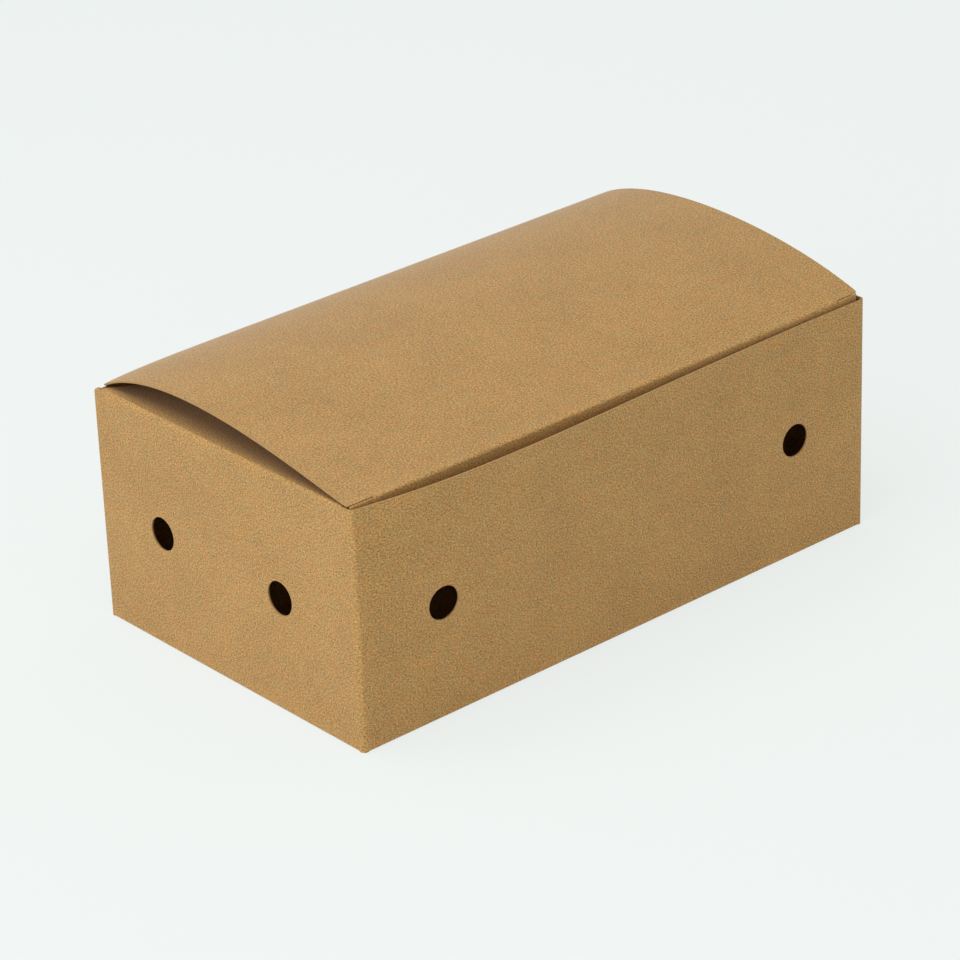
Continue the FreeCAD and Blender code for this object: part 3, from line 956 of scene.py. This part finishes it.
class CARTON_OT_lid(bpy.types.Operator):
    """Adds the lid: a bowed panel with its tuck flap, bending at the crease on the back wall"""

    bl_idname = "carton.lid"
    bl_label = "Lid"

    def execute(self, context):
        sizes = context.scene.carton
        form, walls = LidForm(sizes), TrayForm(sizes)
        board = Board(sizes.board)
        flat, triangles = cut_blank(lid_outline(form), [], *lid_grid(form))
        place, normal = form.place(flat)
        on_blank = flat + np.array([walls.back_mid, sizes.height - STRIP])
        board.add(on_blank, triangles, place, normal, form.creasing(flat),
                  open_rows=(sizes.height - STRIP,))
        lid = board.build("lid_sheet", board_materials(sizes))
        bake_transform(lid)
        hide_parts("lid")
        return {"FINISHED"}


class CARTON_OT_stage(bpy.types.Operator):
    """Adds the floor, the soft lights and the camera"""

    bl_idname = "carton.stage"
    bl_label = "Stage"

    def execute(self, context):
        sizes = context.scene.carton
        self.add_floor(context, (*sizes.backdrop, 1))
        self.light_world(context, (*sizes.backdrop, 1))
        for name, place, power in LAMPS:
            self.add_lamp(context, name, Vector(place), power)
        self.add_camera(context)
        context.scene.view_settings.view_transform = "Standard"
        return {"FINISHED"}

    @staticmethod
    def add_floor(context, backdrop):
        """A wide pale floor in the backdrop's colour, which takes the carton's shadow."""
        corners = [(x * FLOOR_REACH, y * FLOOR_REACH, 0) for x, y in ((-1, -1), (1, -1), (1, 1), (-1, 1))]
        mesh = bpy.data.meshes.new("floor")
        mesh.from_pydata(corners, [], [(0, 1, 2, 3)])
        floor = bpy.data.objects.new("floor", mesh)
        context.scene.collection.objects.link(floor)
        material = bpy.data.materials.new("pale_floor")
        material.use_nodes = True
        graph = Graph(material.node_tree)
        paper = graph.node("ShaderNodeBsdfDiffuse", {}, {"Color": backdrop})[0]
        plain = graph.node("ShaderNodeEmission", {}, {"Color": backdrop, "Strength": FLOOR_GLOW})[0]
        shown = graph.node("ShaderNodeMixShader", {}, {0: FLOOR_GLOW_SHARE, 1: paper, 2: plain})[0]
        shader = graph.node("ShaderNodeMixShader", {}, {0: graph.direct_rays(), 1: paper, 2: shown})[0]
        graph.node("ShaderNodeOutputMaterial", {}, {"Surface": shader})
        mesh.materials.append(material)

    @staticmethod
    def light_world(context, backdrop):
        """White light from all round, with the backdrop's colour where it is seen."""
        world = bpy.data.worlds.new("soft_studio")
        world.use_nodes = True
        context.scene.world = world
        graph = Graph(world.node_tree)
        soft = graph.node("ShaderNodeBackground", {}, {"Color": (1, 1, 1, 1), "Strength": SOFT_LIGHT})[0]
        seen = graph.node("ShaderNodeBackground", {}, {"Color": backdrop, "Strength": 1.0})[0]
        shader = graph.node("ShaderNodeMixShader", {}, {0: graph.direct_rays(), 1: soft, 2: seen})[0]
        graph.node("ShaderNodeOutputWorld", {}, {"Surface": shader})

    @staticmethod
    def add_lamp(context, name, place, power):
        """A large soft lamp that faces the carton."""
        light = bpy.data.lights.new(name, "AREA")
        light.size = LAMP_SIZE
        light.energy = power
        lamp = bpy.data.objects.new(name, light)
        lamp.rotation_euler = place.to_track_quat("Z", "Y").to_euler()
        lamp.location = place
        context.scene.collection.objects.link(lamp)

    @staticmethod
    def add_camera(context):
        """The camera at the photograph's viewing angle."""
        azimuth, elevation, roll = (math.radians(a) for a in CAMERA_TURNS)
        forward = Vector((-math.sin(azimuth) * math.cos(elevation),
                          math.cos(azimuth) * math.cos(elevation), -math.sin(elevation)))
        level = forward.cross(Vector((0, 0, 1))).normalized()
        upright = level.cross(forward)
        right = level * math.cos(roll) + upright * math.sin(roll)
        up = upright * math.cos(roll) - level * math.sin(roll)
        data = bpy.data.cameras.new("camera")
        data.sensor_width = CAMERA_FILM
        data.lens = CAMERA_LENS
        data.clip_start, data.clip_end = CAMERA_RANGE
        camera = bpy.data.objects.new("camera", data)
        turned = Matrix((right, up, -forward)).transposed().to_4x4()
        camera.matrix_world = Matrix.Translation(CAMERA_PLACE) @ turned
        context.scene.collection.objects.link(camera)
        context.scene.camera = camera


class CARTON_PT_panel(bpy.types.Panel):
    """Lists the carton's sizes, colours and pieces"""

    bl_idname = "CARTON_PT_panel"
    bl_label = "Carton"
    bl_space_type = "VIEW_3D"
    bl_region_type = "UI"
    bl_category = "Carton"

    def draw(self, context):
        sizes = context.scene.carton
        for name in CartonSettings.__annotations__:
            self.layout.prop(sizes, name)
        for operator in OPERATORS:
            self.layout.operator(operator.bl_idname)


OPERATORS = (CARTON_OT_tray, CARTON_OT_lid, CARTON_OT_stage)
CLASSES = (CartonSettings, *OPERATORS, CARTON_PT_panel)


def register():
    for cls in CLASSES:
        bpy.utils.register_class(cls)
    bpy.types.Scene.carton = bpy.props.PointerProperty(type=CartonSettings)


def unregister():
    del bpy.types.Scene.carton
    for cls in reversed(CLASSES):
        bpy.utils.unregister_class(cls)


def main():
    register()
    bpy.ops.carton.tray()
    bpy.ops.carton.lid()
    bpy.ops.carton.stage()


if __name__ == "__main__":
    main()
